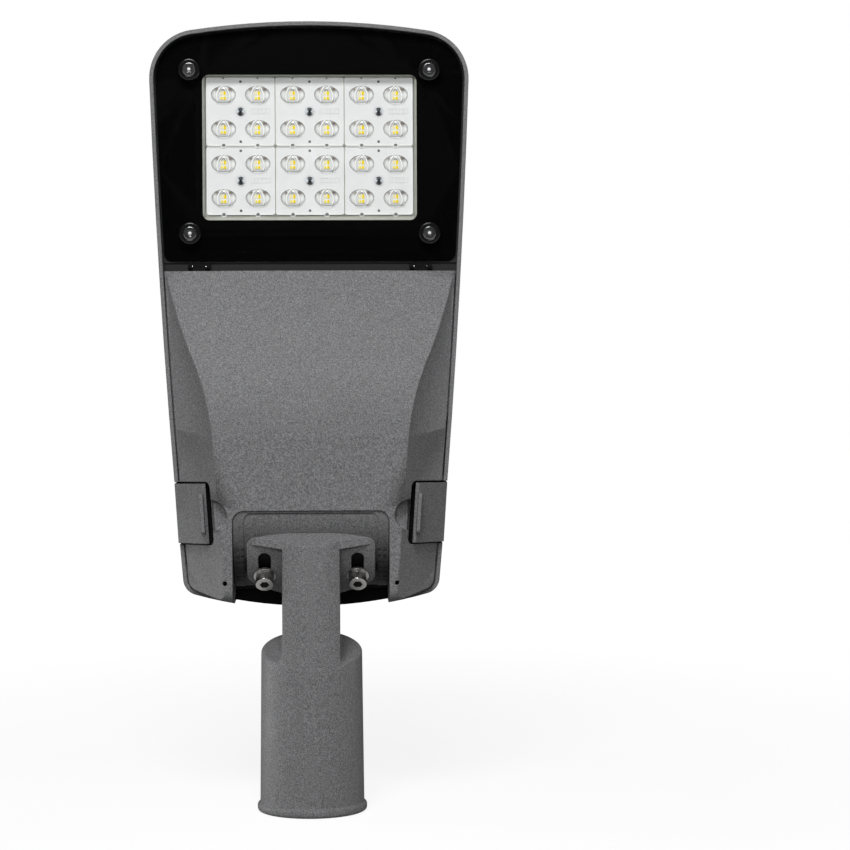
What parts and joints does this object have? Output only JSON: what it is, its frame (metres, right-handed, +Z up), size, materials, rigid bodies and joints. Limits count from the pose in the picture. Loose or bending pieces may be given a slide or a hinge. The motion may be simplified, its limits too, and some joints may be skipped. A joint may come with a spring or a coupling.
{
  "type": "LED street light head",
  "caption": "Pole-top LED street light head with a flat glass light unit, a hinged gear cover held by side latches, and a socket arm that tilts it on a clamped drum.",
  "frame": {"origin": "centre of the pole socket's mouth", "axes": "+Z up along the pole and the lamp's long axis, light given out towards -Y, +X to the right seen from the lit side"},
  "size_m": [0.2296, 0.0963, 0.5665],
  "materials": {
    "grey_casting": "fine-textured powder coat on cast aluminium",
    "stainless": "satin",
    "zinc": "bright zinc",
    "clear_glass": "clear toughened glass",
    "black_mask": "gloss black",
    "black_rubber": "matt",
    "black_plastic": "satin",
    "white_plastic": "satin",
    "white_board": "white solder mask",
    "led_phosphor": "yellow phosphor",
    "clear_lens": "clear moulded acrylic",
    "lead_sleeve": "satin",
    "driver_case": "satin"
  },
  "bodies": {
    "spigot": {"spigot_arm": "grey_casting", "clamp_screws": "stainless", "clamp_nuts": "stainless"},
    "head": {"housing": "grey_casting", "tilt_bolts": "stainless", "tilt_washers": "stainless", "glass_panel": "clear_glass", "mask_frame": "black_mask", "glass_gasket": "black_rubber", "glass_grommets": "black_rubber", "glass_screws": "stainless", "module_tray": "white_plastic", "led_board": "white_board", "led_packages": "led_phosphor", "module_screws": "zinc", "led_connector": "white_plastic", "led_leads": "lead_sleeve", "lead_grommet": "black_rubber", "cover_gasket": "black_rubber", "cover_hinge_pins": "stainless", "latch_pins": "stainless", "led_driver": "driver_case", "driver_screws": "zinc", "terminal_block": "white_plastic", "surge_protector": "driver_case", "mains_leads": "lead_sleeve", "cable_gland": "black_plastic", "lens_module_1": "clear_lens", "lens_module_2": "clear_lens", "lens_module_3": "clear_lens", "lens_module_4": "clear_lens", "lens_module_5": "clear_lens", "lens_module_6": "clear_lens"},
    "cover": {"gear_cover": "grey_casting"},
    "left_latch": {"latch_left": "grey_casting"},
    "right_latch": {"latch_right": "grey_casting"}
  },
  "joints": [
    {"name": "head_tilt", "type": "hinge", "parent": "spigot", "child": "head", "pos_m": [0, 0.0305, 0.21], "axis": [1, 0, 0], "range_deg": [-15, 15]},
    {"name": "cover_hinge", "type": "hinge", "parent": "head", "child": "cover", "pos_m": [0, 0.0225, 0.3902], "axis": [-1, 0, 0], "range_deg": [0, 50]},
    {"name": "left_latch_pivot", "type": "hinge", "parent": "head", "child": "left_latch", "pos_m": [-0.09494, 0.0466, 0.2126], "axis": [0.0628, 0, -0.998], "range_deg": [0, 125]},
    {"name": "right_latch_pivot", "type": "hinge", "parent": "head", "child": "right_latch", "pos_m": [0.09494, 0.0466, 0.2126], "axis": [0.0628, 0, 0.998], "range_deg": [0, 125]}
  ],
  "couplings": [
    {"joint": "left_latch_pivot", "follows": "cover_hinge", "ratio": 2.5},
    {"joint": "right_latch_pivot", "follows": "cover_hinge", "ratio": 2.5}
  ]
}
